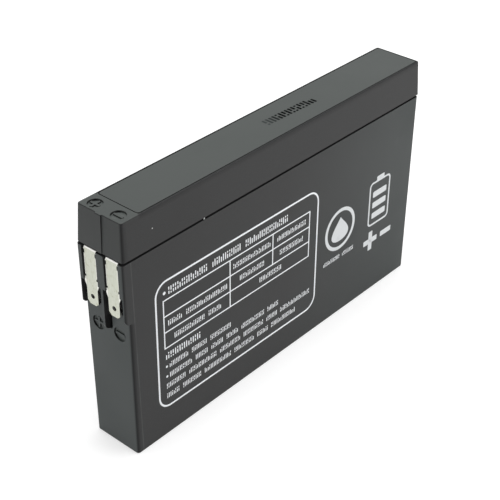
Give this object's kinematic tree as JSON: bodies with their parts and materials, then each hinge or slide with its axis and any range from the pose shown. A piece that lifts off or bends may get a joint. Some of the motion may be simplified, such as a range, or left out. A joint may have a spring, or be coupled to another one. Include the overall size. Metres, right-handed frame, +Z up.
{
  "type": "sealed lead acid battery",
  "caption": "Slim sealed lead acid battery: drafted black case, lid with flush cover plate, and push-on terminal tabs in pockets at one end; full cell stacks inside.",
  "frame": {"origin": "centre of the underside that it stands on", "axes": "+X along the length away from the terminals, +Y away from the printed face, +Z up"},
  "size_m": [0.15, 0.02, 0.089],
  "materials": {
    "container_plastic": "moulded black plastic, fine satin grain",
    "lid_plastic": "moulded black plastic, fine satin grain",
    "cover_plastic": "moulded black plastic, fine satin grain",
    "tab_tin": "tin plate, satin",
    "seal_resin": "poured black resin",
    "vent_rubber": "soft, matt",
    "cast_lead": "cast lead alloy",
    "positive_paste": "cured paste, matt brown",
    "negative_paste": "cured paste, matt grey",
    "glass_mat": "soft white mat"
  },
  "bodies": {
    "root": {"container": "container_plastic", "lid": "lid_plastic", "cover_plate": "cover_plastic", "positive_tab": "tab_tin", "negative_tab": "tab_tin", "positive_terminal_seal": "seal_resin", "negative_terminal_seal": "seal_resin", "return_bar": "cast_lead", "return_bar_resin": "seal_resin", "vent_cap_1": "vent_rubber", "positive_plates_1": "positive_paste", "negative_plates_1": "negative_paste", "separators_1": "glass_mat", "positive_strap_1": "cast_lead", "negative_strap_1": "cast_lead", "vent_cap_2": "vent_rubber", "positive_plates_2": "positive_paste", "negative_plates_2": "negative_paste", "separators_2": "glass_mat", "positive_strap_2": "cast_lead", "negative_strap_2": "cast_lead", "vent_cap_3": "vent_rubber", "positive_plates_3": "positive_paste", "negative_plates_3": "negative_paste", "separators_3": "glass_mat", "positive_strap_3": "cast_lead", "negative_strap_3": "cast_lead", "vent_cap_4": "vent_rubber", "positive_plates_4": "positive_paste", "negative_plates_4": "negative_paste", "separators_4": "glass_mat", "positive_strap_4": "cast_lead", "negative_strap_4": "cast_lead", "vent_cap_5": "vent_rubber", "positive_plates_5": "positive_paste", "negative_plates_5": "negative_paste", "separators_5": "glass_mat", "positive_strap_5": "cast_lead", "negative_strap_5": "cast_lead", "vent_cap_6": "vent_rubber", "positive_plates_6": "positive_paste", "negative_plates_6": "negative_paste", "separators_6": "glass_mat", "positive_strap_6": "cast_lead", "negative_strap_6": "cast_lead"}
  },
  "joints": []
}
